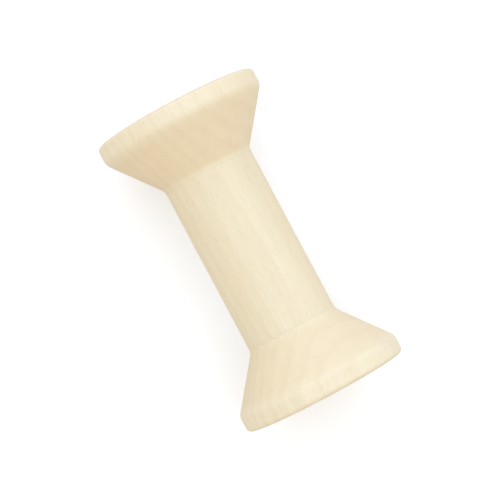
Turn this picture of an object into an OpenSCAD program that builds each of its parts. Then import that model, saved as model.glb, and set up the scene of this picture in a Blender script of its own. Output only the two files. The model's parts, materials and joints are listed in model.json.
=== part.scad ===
// Wooden mill bobbin: a turned barrel with a tenon at each end, and two flared heads glued on the tenons.
// The bobbin lies on its rims. Its axis is along X, and the origin is on the axis, midway between the heads.
// All sizes are in millimetres.

/* [Bobbin] */
// Overall length, from end face to end face
bobbin_length = 48; // [42:0.5:70]
// Diameter of the barrel that the thread is wound on
barrel_d = 14.3; // [12.5:0.1:18]

/* [Heads] */
// Diameter of a head at its rim
head_d = 26.2; // [22:0.2:40]
// Height of a head along the axis, from the end of the barrel to the end face
head_h = 10.9; // [9:0.1:14]
// Width of the rim along the axis, from the end face to the top of the flare
rim_w = 2.7; // [2.2:0.1:4]
// Radius of the rim's corner at the end face
rim_end_r = 0.7; // [0.3:0.1:1.2]
// Radius of the rim's corner at the flare
rim_flare_r = 1.8; // [0.3:0.1:3]
// Radius of the hollow where the flare meets the barrel
root_r = 1.6; // [0.4:0.1:4]

/* [Spindle bore] */
// Diameter of the bore for the spindle
bore_d = 6.5; // [5:0.1:7.5]
// Depth of the countersink at each mouth of the bore
mouth_chamfer = 0.4; // [0.1:0.1:1]

/* [Glued joint] */
// Diameter of the tenon at each end of the barrel
tenon_d = 10.6; // [9.6:0.1:11.5]
// Length of a tenon
tenon_l = 5.5; // [4:0.1:7]
// Glue line between the tenon and its socket, all round
glue_gap = 0.05; // [0.02:0.01:0.15]
// Room left for glue between the end of the tenon and the bottom of its socket
socket_room = 0.4; // [0.1:0.1:1]
// Chamfer on the end of the tenon
tenon_chamfer = 0.5; // [0.2:0.1:0.8]

/* [Hidden] */
$fn = 96;

WOOD = "#F2E4C4";

barrel_r = barrel_d / 2;
head_r = head_d / 2;
bore_r = bore_d / 2;
tenon_r = tenon_d / 2;
socket_r = tenon_r + glue_gap;
socket_depth = tenon_l + socket_room;

// Planes along the axis, measured from the middle of the bobbin
end_x = bobbin_length / 2;
shoulder_x = end_x - head_h;
rim_x = end_x - rim_w;
tenon_x = shoulder_x + tenon_l;

// The flare is the line from the root hollow to the rim's inner corner. A profile point is [radius, height],
// with the height measured outwards along the axis. An angle is that of the flare to the axis.
root_centre = [barrel_r + root_r, shoulder_x];
flare_corner = [head_r, rim_x];
flare_run = flare_corner - root_centre;
flare_angle = atan2(flare_run.x, flare_run.y) + asin(root_r / norm(flare_run));
flare_out = [cos(flare_angle), -sin(flare_angle)];

root_tangent = root_centre - root_r * flare_out;
rim_flare_centre = [head_r - rim_flare_r, rim_x + rim_flare_r * tan(flare_angle / 2)];
rim_flare_tangent = rim_flare_centre + rim_flare_r * flare_out;
rim_end_centre = [head_r - rim_end_r, end_x - rim_end_r];

// Outline of a head's half section without its bore and socket, with straight cuts at the rounded corners
head_outline = [
    [0, shoulder_x],
    [barrel_r, shoulder_x],
    root_tangent,
    rim_flare_tangent,
    [head_r, rim_flare_centre.y],
    [head_r, rim_end_centre.y],
    [rim_end_centre.x, end_x],
    [0, end_x],
];

// Half section of a turned head: the rim's corners are rounded off and the root is hollowed
module head_section() {
    difference() {
        union() {
            polygon(head_outline);
            translate(rim_flare_centre) circle(r = rim_flare_r);
            translate(rim_end_centre) circle(r = rim_end_r);
        }
        translate(root_centre) circle(r = root_r);
    }
}

// One head, standing on the axis: a flared disc with a blind socket for the tenon and the spindle's hole
module head() {
    over = 1;
    difference() {
        rotate_extrude() head_section();
        translate([0, 0, shoulder_x - over])
            cylinder(r = socket_r, h = socket_depth + over);
        translate([0, 0, shoulder_x])
            cylinder(r = bore_r, h = head_h + over);
        translate([0, 0, end_x - mouth_chamfer])
            cylinder(r1 = bore_r, r2 = bore_r + mouth_chamfer + over, h = mouth_chamfer + over);
    }
}

// One end of the barrel, standing on the axis: half of the wound length and its tenon
module barrel_half() {
    cylinder(r = barrel_r, h = shoulder_x);
    cylinder(r = tenon_r, h = tenon_x - tenon_chamfer);
    translate([0, 0, tenon_x - tenon_chamfer])
        cylinder(r1 = tenon_r, r2 = tenon_r - tenon_chamfer, h = tenon_chamfer);
}

// Turns a shape that stands on Z so that it lies along X, with its top to the right
module along_x() {
    rotate([0, 90, 0]) children();
}

module barrel() {
    over = 1;
    color(WOOD) along_x() difference() {
        union() {
            barrel_half();
            mirror([0, 0, 1]) barrel_half();
        }
        translate([0, 0, -tenon_x - over])
            cylinder(r = bore_r, h = 2 * (tenon_x + over));
    }
}

module right_head() {
    color(WOOD) along_x() head();
}

module left_head() {
    color(WOOD) mirror([1, 0, 0]) along_x() head();
}

barrel();
left_head();
right_head();
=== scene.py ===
"""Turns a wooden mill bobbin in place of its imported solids, and lays it on a pale studio floor."""

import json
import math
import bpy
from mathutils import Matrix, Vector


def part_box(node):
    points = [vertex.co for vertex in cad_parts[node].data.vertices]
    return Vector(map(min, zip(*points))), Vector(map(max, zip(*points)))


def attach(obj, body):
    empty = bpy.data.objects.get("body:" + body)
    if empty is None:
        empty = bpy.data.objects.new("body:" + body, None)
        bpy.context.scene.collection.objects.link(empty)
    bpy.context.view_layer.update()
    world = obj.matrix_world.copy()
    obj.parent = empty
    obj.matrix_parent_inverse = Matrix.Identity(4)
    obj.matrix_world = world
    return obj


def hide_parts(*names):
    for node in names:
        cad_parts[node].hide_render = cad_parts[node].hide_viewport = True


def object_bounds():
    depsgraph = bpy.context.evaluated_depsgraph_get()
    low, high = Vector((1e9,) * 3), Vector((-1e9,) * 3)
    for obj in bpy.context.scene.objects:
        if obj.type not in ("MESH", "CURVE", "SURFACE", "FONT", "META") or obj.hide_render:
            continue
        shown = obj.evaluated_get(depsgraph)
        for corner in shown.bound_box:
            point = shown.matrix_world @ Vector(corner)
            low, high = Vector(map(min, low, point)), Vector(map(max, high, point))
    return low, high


bl_info = {
    "name": "Wooden mill bobbin",
    "version": (1, 0, 0),
    "blender": (4, 5, 0),
    "location": "View3D > Sidebar > Bobbin",
    "description": "Turns a bobbin from pale wood, with its grain and finish, and lays it on a studio floor",
    "category": "Add Mesh",
}

from collections import namedtuple
from types import SimpleNamespace

import bmesh
import bpy
from bpy.props import FloatProperty, FloatVectorProperty, IntProperty, PointerProperty
from bpy.types import Operator, Panel, PropertyGroup
from mathutils import Matrix, Vector, noise

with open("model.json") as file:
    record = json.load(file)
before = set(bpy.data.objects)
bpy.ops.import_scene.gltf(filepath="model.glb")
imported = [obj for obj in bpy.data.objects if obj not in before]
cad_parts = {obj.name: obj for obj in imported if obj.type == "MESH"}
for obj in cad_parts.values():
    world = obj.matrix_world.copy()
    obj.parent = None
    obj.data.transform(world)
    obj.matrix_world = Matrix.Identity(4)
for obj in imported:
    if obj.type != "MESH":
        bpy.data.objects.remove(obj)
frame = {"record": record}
CAD_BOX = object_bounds()

MM = 0.001
BODY = "root"

# What the frame says of the bobbin: x runs along its axis, and z is the height above the axis
BARREL_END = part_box("barrel")[1]
HEAD_START, HEAD_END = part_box("right_head")
SHOULDER_X = HEAD_START.x
END_X = HEAD_END.x
HEAD_RADIUS = HEAD_END.z
TENON_X = BARREL_END.x
BARREL_RADIUS = BARREL_END.z
FLOOR_Z = CAD_BOX[0].z
MOUNTS = {mount["name"]: mount for mount in frame["record"]["mounts"]}
BORE_MM = MOUNTS["spindle_bore"]["dims"]["r_mm"]

# Points closer than this are one point
MERGE_DISTANCE = 1e-7
# Edges that turn by more than this stay crisp
CRISP_ANGLE = math.radians(32)
# Fewest steps of a round stretch of a section, and steps round a broken edge
ARC_STEPS = 6
BREAK_STEPS = 2
# Rows of the noise that the tool marks on each surface are read from
BARREL_MARKS = 0.5
FACE_MARKS = 1.5
FLARE_MARKS = 2.5

# The map that a piece's finish is laid out on
FINISH_MAP = "OFBake"
# Strips that the way round the axis is cut into on that map, and the free edge of a strip as a share of it
BARREL_STRIPS = 1
HEAD_STRIPS = 2
STRIP_MARGIN = 0.006
# Room on the map for a stretch of the bore, and for one inside a joint, where one on the outside has 1
BORE_ROOM = 0.5
JOINT_ROOM = 0.2
# Layer that holds each point's place along its half section, from 0 to 1
ALONG = "along_section"

# The wood's patterns: cells to a millimetre, along the grain and across it both ways, and the noise's make.
# The rays' cells are to a radian round the pith and to a millimetre out from it
Pattern = namedtuple("Pattern", "cells detail roughness")
RING_WANDER = Pattern((0.02, 0.11, 0.11), 2.0, 0.5)
FIBRES = Pattern((0.12, 4.5, 4.5), 3.0, 0.6)
STREAKS = Pattern((0.025, 0.6, 0.6), 2.0, 0.5)
PORES = Pattern((0.7, 9.0, 9.0), 0.0, 0.5)
PATCHES = Pattern((0.06, 0.12, 0.12), 1.0, 0.5)
RAYS = Pattern((160.0, 0.35, 0.0), 1.0, 0.5)
DRILL_MARKS = Pattern((2.5, 0.2, 0.2), 1.0, 0.5)

# Where each of these starts to show, and where it shows in full
# Late wood, by the share of its year's ring that has grown
LATE_RISE = (0.25, 0.93)
LATE_FALL = (1.0, 0.95)
# Pores, warm patches and rays, by their noise
PORE_EDGE = (0.66, 0.76)
PATCH_EDGE = (0.45, 0.75)
RAY_EDGE = (0.5, 0.7)
# End grain, and cut wood with its painted warm shade, by how squarely the surface faces along the axis
END_EDGE = (0.6, 1.0)
CUT_AND_SHADE_EDGE = (0.0, 0.8)
# The rims, with their painted highlight and smoother finish, and the drilled bore, by the distance from the
# axis in millimetres
RIM_EDGE = (HEAD_RADIUS / MM - 1.3, HEAD_RADIUS / MM - 0.2)
BORE_EDGE = (BORE_MM + 0.15, BORE_MM + 0.05)

# Where in the tree each piece is cut: the pith across the bobbin's axis and the way along the trunk in
# millimetres, and the grain's lean from that axis in radians
Blank = namedtuple("Blank", "pith lean along_trunk")
BARREL_BLANK = Blank((-31.0, -24.0), (0.012, -0.02), 0.0)
LEFT_BLANK = Blank((-38.0, -14.0), (-0.015, 0.018), 140.0)
RIGHT_BLANK = Blank((-27.0, -33.0), (0.018, 0.012), 290.0)

# The studio floor's make, and the nearest thing that the camera sees, in metres
FLOOR_SEGMENTS = 96
FLOOR_ROUGHNESS = 0.9
FLOOR_SHINE = 0.1
CLIP_START = 0.01


def length(name, description, default):
    """A size in metres, given in millimetres."""
    return FloatProperty(
        name=name, description=description, default=default * MM, min=0.0, precision=6, unit="LENGTH"
    )


def share(name, description, default):
    """A share from 0 to 1."""
    return FloatProperty(
        name=name, description=description, default=default, min=0.0, max=1.0, subtype="FACTOR"
    )


def angle(name, description, default):
    """An angle, given in degrees."""
    return FloatProperty(
        name=name, description=description, default=math.radians(default), subtype="ANGLE"
    )


def colour(name, description, default):
    """A colour, in linear values."""
    return FloatVectorProperty(
        name=name, description=description, default=default, size=3, min=0.0, max=1.0, subtype="COLOR"
    )


class BobbinShape(PropertyGroup):
    """Sizes of the turned pieces that the frame's boxes don't give"""

    rim_width: length("Rim width", "Width of a head's rim along the axis", 2.7)
    rim_end_radius: length("Rim end radius", "Radius of the rim's corner at the end face", 0.7)
    rim_flare_radius: length("Rim flare radius", "Radius of the rim's corner at the flare", 1.8)
    root_radius: length("Root radius", "Radius of the hollow where the flare meets the barrel", 1.6)
    bore_radius: length("Bore radius", "Radius of the spindle's bore", BORE_MM)
    mouth_chamfer: length("Mouth chamfer", "Depth of the countersink at a mouth of the bore", 0.4)
    tenon_radius: length("Tenon radius", "Radius of the tenon at each end of the barrel", 5.3)
    tenon_chamfer: length("Tenon chamfer", "Chamfer on the end of a tenon", 0.5)
    glue_gap: length("Glue gap", "Glue line between a tenon and its socket", 0.05)
    socket_room: length("Socket room", "Room for glue between a tenon's end and its socket", 0.4)
    edge_break: length("Edge break", "Rounding of the sanded edges at a joint and at the bore's mouth", 0.028)
    mark_depth: length("Tool mark depth", "Depth of the faint rings left by the turning tool", 0.01)
    mark_pitch: length("Tool mark pitch", "Usual distance from one tool mark to the next", 0.9)
    ring_step: length("Ring step", "Distance between the rings of faces along a turned surface", 0.2)
    segments: IntProperty(
        name="Segments", description="Faces round the bobbin, in fours", default=160, min=24, step=4
    )


class WoodFinish(PropertyGroup):
    """Colours, grain and surface of the bare wood"""

    early_wood: colour("Early wood", "Pale wood of the spring growth", (0.79, 0.71, 0.53))
    late_wood: colour("Late wood", "Darker wood at the end of a year's ring", (0.685, 0.556, 0.362))
    warm_wood: colour("Warm wood", "Tint of the warm patches", (0.788, 0.646, 0.44))
    # The rims' paler wood is a painted highlight
    rim_highlight_wood: colour("Rim wood", "Paler wood of the rubbed rims", (0.846, 0.771, 0.594))
    # Cut wood is tinted warmer and darker as painted warm shade, beyond the tone of wood cut across its grain
    cut_and_shade_wood: colour("Cut wood", "Wood where the tool cut across its grain", (0.795, 0.68, 0.489))
    ring_spacing: length("Ring spacing", "Usual width of a year's ring", 2.1)
    ring_wander: length("Ring wander", "How far a ring strays from a true circle", 3.2)
    side_rings: share("Side rings", "Strength of the rings on the sides", 0.15)
    end_rings: share("End rings", "Strength that the rings gain on end grain", 0.25)
    fibre_contrast: share("Fibre contrast", "Difference in tone from fibre to fibre", 0.11)
    streak_contrast: share("Streak contrast", "Difference in tone from one broad streak to the next", 0.08)
    end_darkness: share("End darkness", "How much darker end grain is", 0.1)
    ray_darkness: share("Ray darkness", "How much darker the rays on end grain are", 0.05)
    pore_darkness: share("Pore darkness", "Share of late wood's colour in the pores", 0.45)
    patch_warmth: share("Patch warmth", "Strength of the warm patches", 0.15)
    # How much of that painted highlight the rims get
    rim_highlight_share: share("Rim paleness", "Share of the paler wood on the rims", 0.5)
    bore_darkness: share("Bore darkness", "Share of late wood's colour on the bore's wall", 0.35)
    drill_darkness: share("Drill darkness", "How much darker the drill's marks in the bore are", 0.16)
    roughness: share("Roughness", "Usual roughness of the sanded wood", 0.55)
    roughness_spread: share("Roughness spread", "Difference in roughness from fibre to fibre", 0.12)
    rim_polish: share("Rim polish", "How much smoother the rubbed rims are", 0.1)
    bore_roughness: share("Bore roughness", "How much rougher the bore's wall is", 0.2)
    relief_depth: length("Relief depth", "Height of the fibres above the pores", 0.02)
    relief_strength: share("Relief strength", "Strength of that relief", 0.25)


class Studio(PropertyGroup):
    """Floor, light and camera"""

    floor_colour: colour("Floor", "Colour of the pale floor", (0.8, 0.8, 0.8))
    floor_glow: colour("Floor glow", "Light that the floor adds for the camera alone", (0.255, 0.275, 0.305))
    floor_radius: FloatProperty(
        name="Floor radius", description="Radius of the floor", default=3.0, min=0.1, unit="LENGTH"
    )
    fill_colour: colour("Fill colour", "Colour of the even light from all round", (1.0, 0.834, 0.596))
    fill_strength: FloatProperty(
        name="Fill", description="Strength of the even light from all round", default=0.832, min=0.0
    )
    backdrop_colour: colour("Backdrop", "Colour that the camera sees beyond the floor", (1.0, 1.0, 1.0))
    key_colour: colour("Key colour", "Colour of the broad light from above", (0.483, 0.698, 1.0))
    key_strength: FloatProperty(
        name="Key", description="Strength of the broad light from above", default=2.3, min=0.0
    )
    key_tilt: angle("Key tilt", "Angle of the broad light from straight above, to the picture's top", 25)
    key_spread: angle("Key spread", "Width of the broad light as seen from the bobbin", 120)
    camera_place: FloatVectorProperty(
        name="Camera place", description="Where the camera stands",
        default=(4.0 * MM, -15.9 * MM, 299.0 * MM), size=3, precision=5, subtype="TRANSLATION", unit="LENGTH"
    )
    picture_turn: angle("Picture turn", "Angle of the bobbin's axis below the picture's horizontal", 61.9)
    lens: FloatProperty(
        name="Lens", description="Focal length of the camera in millimetres", default=144.0, min=1.0
    )


def begin_section(section, x, radius):
    """Puts the first point of a half section."""
    return section.verts.new((x, 0.0, radius))


def line_to(section, last, x, radius):
    """Draws a straight stretch of a half section."""
    point = bmesh.ops.extrude_vert_indiv(section, verts=[last])["verts"][0]
    point.co = (x, 0.0, radius)
    return point


def arc_about(section, last, centre, turn, step):
    """Draws a round stretch of a half section. A positive turn goes from outwards to right."""
    centre = Vector((centre[0], 0.0, centre[1]))
    steps = max(ARC_STEPS, round((last.co - centre).length * abs(turn) / step))
    drawn = bmesh.ops.spin(section, geom=[last], cent=centre, axis=(0, 1, 0), angle=turn, steps=steps)
    return drawn["geom_last"][0]


def break_edges(section, corners, size):
    """Rounds the given corners of a half section a little."""
    bmesh.ops.bevel(
        section, geom=corners, offset=size, offset_type="OFFSET", segments=BREAK_STEPS, profile=0.5,
        affect="VERTICES", material=-1
    )


def divide_long_edges(section, step, beyond=0.0):
    """Gives the straight stretches beyond a radius as many points as the round ones."""
    for edge in section.edges[:]:
        middle = (edge.verts[0].co + edge.verts[1].co) / 2
        cuts = round(edge.calc_length() / step) - 1
        if cuts > 0 and middle.z > beyond + MERGE_DISTANCE:
            bmesh.ops.subdivide_edges(section, edges=[edge], cuts=cuts)


def tool_mark(place, shape, row):
    """Depth of the turning tool's mark at a place along the surface."""
    wave = noise.noise(Vector((place / shape.mark_pitch, row, 0.0)))
    return shape.mark_depth * (0.5 + 0.5 * wave)


def walk_section(section, start):
    """The points of a closed half section in order from the start, the outside from left to right."""
    order = [start]
    edge = start.link_edges[0]
    point = edge.other_vert(start)
    while point != start:
        order.append(point)
        edge = next(other for other in point.link_edges if other != edge)
        point = edge.other_vert(point)
    pairs = zip(order, order[1:] + order[:1])
    if sum(first.co.x * second.co.z - second.co.x * first.co.z for first, second in pairs) > 0.0:
        order[1:] = order[:0:-1]
    return order


def map_room(shape, place):
    """Room on the map for a stretch of a half section, by where its middle is."""
    if place.z < shape.bore_radius + MERGE_DISTANCE:
        return BORE_ROOM
    socket_x = TENON_X + shape.socket_room + MERGE_DISTANCE
    in_joint = SHOULDER_X - MERGE_DISTANCE < abs(place.x) < socket_x and place.z < BARREL_RADIUS
    return JOINT_ROOM if in_joint else 1.0


def measure_section(section, shape, seam):
    """Notes how far along a closed half section each point is, from the point nearest to the seam."""
    along = section.verts.layers.float.new(ALONG)
    start = min(section.verts, key=lambda point: (point.co - seam).length)
    order = walk_section(section, start)
    rooms = []
    for point, after in zip(order, order[1:] + order[:1]):
        room = map_room(shape, (point.co + after.co) / 2)
        rooms.append(room * (after.co - point.co).length)
    total = sum(rooms)
    done = 0.0
    for point, room in zip(order, rooms):
        point[along] = done / total
        done += room


def turn_of(place, strips):
    """How far round the axis a place is, in turns from the first strip's edge."""
    return math.atan2(place.y, place.z) / math.tau + 0.5 / strips


def unroll(solid, strips):
    """Lays a turned solid out on its map: the way round the axis runs across it, and the section up it."""
    along = solid.verts.layers.float[ALONG]
    places = solid.loops.layers.uv.new(FINISH_MAP)
    room = 1.0 - 2.0 * STRIP_MARGIN
    for face in solid.faces:
        face_turn = turn_of(face.calc_center_median(), strips) % 1.0
        strip = int(face_turn * strips)
        face_top = max(corner.vert[along] for corner in face.loops)
        for corner in face.loops:
            point = corner.vert
            turn = turn_of(point.co, strips)
            turn += round(face_turn - turn)
            # The section's first point is also its last
            height = 1.0 if point[along] == 0.0 and face_top > 0.5 else point[along]
            across = STRIP_MARGIN + room * (turn * strips - strip)
            up = STRIP_MARGIN + room * height
            corner[places].uv = (across, (strip + up) / strips)
    solid.verts.layers.float.remove(along)


def put_in_order(solid):
    """Puts the edges and faces in the order of their points, because a spin leaves them in any order."""
    solid.verts.index_update()
    count = len(solid.verts)

    def rank(part):
        numbers = [point.index for point in part.verts]
        return min(numbers) * count + max(numbers)

    solid.edges.sort(key=rank)
    solid.faces.sort(key=rank)


def spin_section(section, shape, seam, strips):
    """Spins a closed half section round the bobbin's axis into a closed solid, and lays it out on its map."""
    bmesh.ops.remove_doubles(section, verts=section.verts, dist=MERGE_DISTANCE)
    measure_section(section, shape, seam)
    bmesh.ops.spin(
        section, geom=section.verts[:] + section.edges[:], cent=(0, 0, 0), axis=(1, 0, 0),
        angle=math.tau, steps=shape.segments, use_merge=True
    )
    bmesh.ops.remove_doubles(section, verts=section.verts, dist=MERGE_DISTANCE)
    put_in_order(section)
    bmesh.ops.recalc_face_normals(section, faces=section.faces)
    unroll(section, strips)


def finish_piece(solid, name, material, node):
    """Makes an object of a turned solid, in place of its node."""
    for face in solid.faces:
        face.smooth = True
    for edge in solid.edges:
        edge.smooth = edge.calc_face_angle(0.0) < CRISP_ANGLE
    mesh = bpy.data.meshes.new(name)
    solid.to_mesh(mesh)
    solid.free()
    mesh.materials.append(material)
    piece = bpy.data.objects.new(name, mesh)
    bpy.context.scene.collection.objects.link(piece)
    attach(piece, BODY)
    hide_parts(node)
    return piece


def turn_barrel(shape):
    """The barrel: the wound length, with a tenon at each end, bored through."""
    solid = bmesh.new()
    last = begin_section(solid, 0.0, shape.bore_radius)
    last = line_to(solid, last, TENON_X, shape.bore_radius)
    last = line_to(solid, last, TENON_X, shape.tenon_radius - shape.tenon_chamfer)
    last = line_to(solid, last, TENON_X - shape.tenon_chamfer, shape.tenon_radius)
    last = line_to(solid, last, SHOULDER_X, shape.tenon_radius)
    corner = line_to(solid, last, SHOULDER_X, BARREL_RADIUS)
    line_to(solid, corner, 0.0, BARREL_RADIUS)
    break_edges(solid, [corner], shape.edge_break)
    divide_long_edges(solid, shape.ring_step, shape.tenon_radius)
    bmesh.ops.mirror(
        solid, geom=solid.verts[:] + solid.edges[:], matrix=Matrix.Identity(4), merge_dist=MERGE_DISTANCE,
        axis="X"
    )
    for point in solid.verts:
        if point.co.z > BARREL_RADIUS - MERGE_DISTANCE:
            point.co.z -= tool_mark(point.co.x, shape, BARREL_MARKS)
    seam = Vector((TENON_X, 0.0, shape.tenon_radius - shape.tenon_chamfer))
    spin_section(solid, shape, seam, BARREL_STRIPS)
    return solid


def turn_head(shape, side):
    """A head: a flared disc with a socket for the tenon, on the right (side 1) or the left (side -1)."""
    socket_radius = shape.tenon_radius + shape.glue_gap
    socket_x = TENON_X + shape.socket_room
    root = Vector((SHOULDER_X, BARREL_RADIUS + shape.root_radius))
    run = Vector((END_X - shape.rim_width, HEAD_RADIUS)) - root
    flare = math.atan2(run.y, run.x) + math.asin(shape.root_radius / run.length)
    flare_out = Vector((-math.sin(flare), math.cos(flare)))
    rim_flare = Vector((
        END_X - shape.rim_width + shape.rim_flare_radius * math.tan(flare / 2),
        HEAD_RADIUS - shape.rim_flare_radius
    ))
    rim_end = Vector((END_X - shape.rim_end_radius, HEAD_RADIUS - shape.rim_end_radius))
    rim_top = rim_flare + shape.rim_flare_radius * flare_out

    # The section of a right head, from the socket's mouth over the flare and the rim and back down the bore
    solid = bmesh.new()
    arc_step = shape.ring_step / 2
    mouth = begin_section(solid, SHOULDER_X, socket_radius)
    corner = line_to(solid, mouth, SHOULDER_X, BARREL_RADIUS)
    last = arc_about(solid, corner, root, -flare, arc_step)
    last = line_to(solid, last, rim_top.x, rim_top.y)
    last = arc_about(solid, last, rim_flare, flare, arc_step)
    last = line_to(solid, last, rim_end.x, HEAD_RADIUS)
    last = arc_about(solid, last, rim_end, math.pi / 2, arc_step)
    lip = line_to(solid, last, END_X, shape.bore_radius + shape.mouth_chamfer)
    throat = line_to(solid, lip, END_X - shape.mouth_chamfer, shape.bore_radius)
    last = line_to(solid, throat, socket_x, shape.bore_radius)
    last = line_to(solid, last, socket_x, socket_radius)
    line_to(solid, last, SHOULDER_X, socket_radius)
    bmesh.ops.remove_doubles(solid, verts=solid.verts, dist=MERGE_DISTANCE)
    break_edges(solid, [corner, lip, throat], shape.edge_break)
    divide_long_edges(solid, shape.ring_step)
    for point in solid.verts:
        if point.co.x > END_X - MERGE_DISTANCE:
            point.co.x -= tool_mark(point.co.z, shape, FACE_MARKS + side)
        elif point.co.z > BARREL_RADIUS + MERGE_DISTANCE:
            point.co.z -= tool_mark(point.co.x, shape, FLARE_MARKS + side)
    bmesh.ops.transform(solid, matrix=Matrix.Scale(side, 4, (1, 0, 0)), verts=solid.verts)
    seam = Vector((side * socket_x, 0.0, socket_radius))
    spin_section(solid, shape, seam, HEAD_STRIPS)
    return solid


def add_node(tree, kind, inputs=None, **settings):
    """Adds a node, and sets or links its inputs."""
    node = tree.nodes.new(kind)
    for key, value in settings.items():
        setattr(node, key, value)
    for key, value in (inputs or {}).items():
        if isinstance(value, bpy.types.NodeSocket):
            tree.links.new(value, node.inputs[key])
        else:
            node.inputs[key].default_value = value
    return node


def calc(tree, operation, *values):
    """The result of one sum, of numbers or sockets."""
    node = add_node(tree, "ShaderNodeMath", dict(enumerate(values)), operation=operation)
    return node.outputs["Value"]


def add_up(tree, start, changes):
    """A number, plus each pattern times its strength."""
    total = start
    for pattern, strength in changes:
        total = calc(tree, "MULTIPLY_ADD", pattern, strength, total)
    return total


def stretch(tree, vector, scale):
    """Coordinates times a scale on each axis."""
    node = add_node(tree, "ShaderNodeVectorMath", {0: vector, 1: scale}, operation="MULTIPLY")
    return node.outputs["Vector"]


def off_axis(tree, vector):
    """Distance from the x axis."""
    across = stretch(tree, vector, (0.0, 1.0, 1.0))
    return add_node(tree, "ShaderNodeVectorMath", {0: across}, operation="LENGTH").outputs["Value"]


def ramp(tree, value, edge):
    """A smooth step from 0 to 1 as the value goes from the edge's start to its end."""
    node = add_node(
        tree, "ShaderNodeMapRange", {"Value": value, "From Min": edge[0], "From Max": edge[1]},
        interpolation_type="SMOOTHSTEP"
    )
    return node.outputs["Result"]


def cloud(tree, vector, pattern):
    """A pattern's smooth noise, from 0 to 1."""
    node = add_node(
        tree, "ShaderNodeTexNoise",
        {
            "Vector": stretch(tree, vector, pattern.cells), "Scale": 1.0,
            "Detail": pattern.detail, "Roughness": pattern.roughness,
        }
    )
    return node.outputs["Fac"]


def stain(tree, tint, stained, mask, strength=None):
    """A colour that turns to another where a mask shows, at most by the strength."""
    amount = mask if strength is None else calc(tree, "MULTIPLY", mask, strength)
    node = add_node(tree, "ShaderNodeMix", {"Factor": amount}, data_type="RGBA", clamp_factor=True)
    inputs, outputs = (
        {socket.identifier: socket for socket in sockets} for sockets in (node.inputs, node.outputs)
    )
    for name, value in (("A_Color", tint), ("B_Color", stained)):
        if isinstance(value, bpy.types.NodeSocket):
            tree.links.new(value, inputs[name])
        else:
            inputs[name].default_value = (*value, 1.0)
    return outputs["Result_Color"]


def late_wood(tree, finish, grain):
    """Late wood, in year rings of uneven width about the pith that wander along the trunk."""
    wander = cloud(tree, grain, RING_WANDER)
    distance = calc(tree, "MULTIPLY_ADD", wander, finish.ring_wander / MM, off_axis(tree, grain))
    year = calc(tree, "FRACT", calc(tree, "DIVIDE", distance, finish.ring_spacing / MM))
    return calc(tree, "MULTIPLY", ramp(tree, year, LATE_RISE), ramp(tree, year, LATE_FALL))


def rays(tree, grain):
    """Rays that spread from the pith."""
    across = add_node(tree, "ShaderNodeSeparateXYZ", {"Vector": grain}).outputs
    bearing = calc(tree, "ARCTAN2", across["Z"], across["Y"])
    place = add_node(tree, "ShaderNodeCombineXYZ", {"X": bearing, "Y": off_axis(tree, grain)})
    return ramp(tree, cloud(tree, place.outputs["Vector"], RAYS), RAY_EDGE)


def figure(tree, finish, blank):
    """Where each feature of the wood shows on a piece, from 0 to 1."""
    coordinates = add_node(tree, "ShaderNodeTexCoord").outputs
    turned = stretch(tree, coordinates["Object"], (1 / MM, 1 / MM, 1 / MM))
    grain = add_node(
        tree, "ShaderNodeMapping",
        {
            "Vector": turned,
            "Location": (blank.along_trunk, -blank.pith[0], -blank.pith[1]),
            "Rotation": (0.0, *blank.lean),
        }
    ).outputs["Vector"]
    facing = add_node(tree, "ShaderNodeSeparateXYZ", {"Vector": coordinates["Normal"]}).outputs["X"]
    squarely = calc(tree, "ABSOLUTE", facing)
    radius = off_axis(tree, turned)
    end = ramp(tree, squarely, END_EDGE)
    bore = ramp(tree, radius, BORE_EDGE)
    return SimpleNamespace(
        late=late_wood(tree, finish, grain),
        fibre=cloud(tree, grain, FIBRES),
        streak=cloud(tree, grain, STREAKS),
        pore=ramp(tree, cloud(tree, grain, PORES), PORE_EDGE),
        patch=ramp(tree, cloud(tree, grain, PATCHES), PATCH_EDGE),
        end=end,
        # Where the surface faces along the axis: cut wood, which also carries painted warm shade
        cut=ramp(tree, squarely, CUT_AND_SHADE_EDGE),
        ray=calc(tree, "MULTIPLY", rays(tree, grain), end),
        # The rims, which get the painted highlight and the polish
        rim=ramp(tree, radius, RIM_EDGE),
        bore=bore,
        drill=calc(tree, "MULTIPLY", cloud(tree, turned, DRILL_MARKS), bore),
    )


def wood_colour(tree, finish, seen):
    """The wood's tints, made lighter and darker by its grain, with a painted highlight on the rims and
    painted warm shade where the surface faces along the axis.
    """
    # Cut wood, tinted warmer as painted warm shade wherever the surface faces along the axis
    tint = stain(tree, finish.early_wood, finish.cut_and_shade_wood, seen.cut)
    # Painted highlight: the rims paler all round
    tint = stain(tree, tint, finish.rim_highlight_wood, seen.rim, finish.rim_highlight_share)
    rings = add_up(tree, finish.side_rings, [(seen.end, finish.end_rings)])
    tint = stain(tree, tint, finish.late_wood, seen.late, rings)
    tint = stain(tree, tint, finish.warm_wood, seen.patch, finish.patch_warmth)
    tint = stain(tree, tint, finish.late_wood, seen.pore, finish.pore_darkness)
    tint = stain(tree, tint, finish.late_wood, seen.bore, finish.bore_darkness)
    tone = add_up(tree, 1.0 - (finish.fibre_contrast + finish.streak_contrast) / 2, [
        (seen.fibre, finish.fibre_contrast),
        (seen.streak, finish.streak_contrast),
        (seen.end, -finish.end_darkness),
        (seen.ray, -finish.ray_darkness),
        (seen.drill, -finish.drill_darkness),
    ])
    shade = add_node(tree, "ShaderNodeVectorMath", {0: tint, "Scale": tone}, operation="SCALE")
    return shade.outputs["Vector"]


def wood_roughness(tree, finish, seen):
    """Roughness that varies with the fibres, less on the rubbed rims and more in the bore."""
    return add_up(tree, finish.roughness - finish.roughness_spread / 2, [
        (seen.fibre, finish.roughness_spread),
        (seen.rim, -finish.rim_polish),
        (seen.bore, finish.bore_roughness),
    ])


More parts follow.
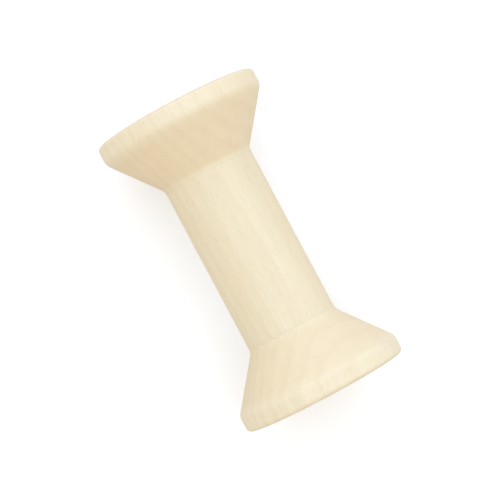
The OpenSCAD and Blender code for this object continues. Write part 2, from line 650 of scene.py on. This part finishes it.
def wood_relief(tree, finish, seen):
    """Relief of the raised fibres and sunken pores."""
    height = calc(tree, "SUBTRACT", seen.fibre, seen.pore)
    bump = add_node(
        tree, "ShaderNodeBump",
        {"Height": height, "Strength": finish.relief_strength, "Distance": finish.relief_depth}
    )
    return bump.outputs["Normal"]


def wood(name, finish, blank):
    """Bare turned wood, cut from its own place in the tree."""
    material = bpy.data.materials.new(name)
    material.use_nodes = True
    tree = material.node_tree
    tree.nodes.clear()
    seen = figure(tree, finish, blank)
    shader = add_node(
        tree, "ShaderNodeBsdfPrincipled",
        {
            "Base Color": wood_colour(tree, finish, seen),
            "Roughness": wood_roughness(tree, finish, seen),
            "Normal": wood_relief(tree, finish, seen),
        }
    )
    add_node(tree, "ShaderNodeOutputMaterial", {"Surface": shader.outputs["BSDF"]})
    return material


def add_floor(studio):
    """A wide pale floor under the rims."""
    disc = bmesh.new()
    bmesh.ops.create_circle(disc, cap_ends=True, radius=studio.floor_radius, segments=FLOOR_SEGMENTS)
    bmesh.ops.translate(disc, verts=disc.verts, vec=(0.0, 0.0, FLOOR_Z))
    mesh = bpy.data.meshes.new("studio_floor")
    disc.to_mesh(mesh)
    disc.free()
    material = bpy.data.materials.new("studio_floor")
    material.use_nodes = True
    tree = material.node_tree
    tree.nodes.clear()
    seen = add_node(tree, "ShaderNodeLightPath").outputs["Is Camera Ray"]
    shader = add_node(
        tree, "ShaderNodeBsdfPrincipled",
        {
            "Base Color": (*studio.floor_colour, 1.0),
            "Roughness": FLOOR_ROUGHNESS,
            "Specular IOR Level": FLOOR_SHINE,
            "Emission Color": (*studio.floor_glow, 1.0),
            "Emission Strength": seen,
        }
    )
    add_node(tree, "ShaderNodeOutputMaterial", {"Surface": shader.outputs["BSDF"]})
    mesh.materials.append(material)
    floor = bpy.data.objects.new("studio_floor", mesh)
    bpy.context.scene.collection.objects.link(floor)


def picture_up(studio):
    """The picture's upward direction, as it lies on the floor."""
    return Vector((-math.sin(studio.picture_turn), math.cos(studio.picture_turn), 0.0))


def add_sky(studio):
    """An even light from all round, which the camera sees as a white backdrop."""
    world = bpy.data.worlds.new("studio_sky")
    world.use_nodes = True
    tree = world.node_tree
    tree.nodes.clear()
    fill = add_node(
        tree, "ShaderNodeBackground",
        {"Color": (*studio.fill_colour, 1.0), "Strength": studio.fill_strength}
    )
    backdrop = add_node(
        tree, "ShaderNodeBackground", {"Color": (*studio.backdrop_colour, 1.0), "Strength": 1.0}
    )
    seen = add_node(tree, "ShaderNodeLightPath").outputs["Is Camera Ray"]
    sky = add_node(
        tree, "ShaderNodeMixShader",
        {0: seen, 1: fill.outputs["Background"], 2: backdrop.outputs["Background"]}
    )
    add_node(tree, "ShaderNodeOutputWorld", {"Surface": sky.outputs["Shader"]})
    bpy.context.scene.world = world
    bpy.context.scene.view_settings.view_transform = "Standard"


def add_key(studio):
    """One broad soft light from above."""
    data = bpy.data.lights.new("studio_key", "SUN")
    data.color = studio.key_colour
    data.energy = studio.key_strength
    data.angle = studio.key_spread
    key = bpy.data.objects.new("studio_key", data)
    above = Vector((0.0, 0.0, 1.0))
    key_from = math.sin(studio.key_tilt) * picture_up(studio) + math.cos(studio.key_tilt) * above
    key.rotation_mode = "QUATERNION"
    key.rotation_quaternion = key_from.to_track_quat("Z", "Y")
    bpy.context.scene.collection.objects.link(key)


def add_camera(studio):
    """A camera above the bobbin, turned as the picture is."""
    data = bpy.data.cameras.new("studio_camera")
    data.lens = studio.lens
    data.clip_start = CLIP_START
    camera = bpy.data.objects.new("studio_camera", data)
    place = Vector(studio.camera_place)
    back = place.normalized()
    right = picture_up(studio).cross(back).normalized()
    up = back.cross(right)
    turn = Matrix((right, up, back)).transposed()
    camera.matrix_world = Matrix.Translation(place) @ turn.to_4x4()
    bpy.context.scene.collection.objects.link(camera)
    bpy.context.scene.camera = camera


class BOBBIN_OT_turn_barrel(Operator):
    """Turn the barrel and its tenons"""

    bl_idname = "bobbin.turn_barrel"
    bl_label = "Turn Barrel"

    def execute(self, context):
        scene = context.scene
        material = wood("barrel_wood", scene.bobbin_wood, BARREL_BLANK)
        finish_piece(turn_barrel(scene.bobbin_shape), "turned_barrel", material, "barrel")
        return {"FINISHED"}


class BOBBIN_OT_turn_heads(Operator):
    """Turn the head at each end of the barrel"""

    bl_idname = "bobbin.turn_heads"
    bl_label = "Turn Heads"

    def execute(self, context):
        scene = context.scene
        for node, side, blank in (("left_head", -1, LEFT_BLANK), ("right_head", 1, RIGHT_BLANK)):
            material = wood(node + "_wood", scene.bobbin_wood, blank)
            finish_piece(turn_head(scene.bobbin_shape, side), "turned_" + node, material, node)
        return {"FINISHED"}


class BOBBIN_OT_set_stage(Operator):
    """Lay the floor and set the light and the camera"""

    bl_idname = "bobbin.set_stage"
    bl_label = "Set Stage"

    def execute(self, context):
        studio = context.scene.bobbin_studio
        add_floor(studio)
        add_sky(studio)
        add_key(studio)
        add_camera(studio)
        return {"FINISHED"}


class BOBBIN_PT_sidebar(Panel):
    """Sizes, finish and studio of the bobbin"""

    bl_idname = "BOBBIN_PT_sidebar"
    bl_label = "Mill Bobbin"
    bl_space_type = "VIEW_3D"
    bl_region_type = "UI"
    bl_category = "Bobbin"

    def draw(self, context):
        layout = self.layout
        scene = context.scene
        for group in (scene.bobbin_shape, scene.bobbin_wood, scene.bobbin_studio):
            box = layout.box()
            for name in type(group).__annotations__:
                box.prop(group, name)
        for operator in OPERATORS:
            layout.operator(operator.bl_idname)


OPERATORS = (BOBBIN_OT_turn_barrel, BOBBIN_OT_turn_heads, BOBBIN_OT_set_stage)
CLASSES = (BobbinShape, WoodFinish, Studio, *OPERATORS, BOBBIN_PT_sidebar)


def register():
    for item in CLASSES:
        bpy.utils.register_class(item)
    bpy.types.Scene.bobbin_shape = PointerProperty(type=BobbinShape)
    bpy.types.Scene.bobbin_wood = PointerProperty(type=WoodFinish)
    bpy.types.Scene.bobbin_studio = PointerProperty(type=Studio)


def unregister():
    del bpy.types.Scene.bobbin_studio
    del bpy.types.Scene.bobbin_wood
    del bpy.types.Scene.bobbin_shape
    for item in reversed(CLASSES):
        bpy.utils.unregister_class(item)


def main():
    register()
    bpy.ops.bobbin.turn_barrel()
    bpy.ops.bobbin.turn_heads()
    bpy.ops.bobbin.set_stage()


if __name__ == "__main__":
    main()
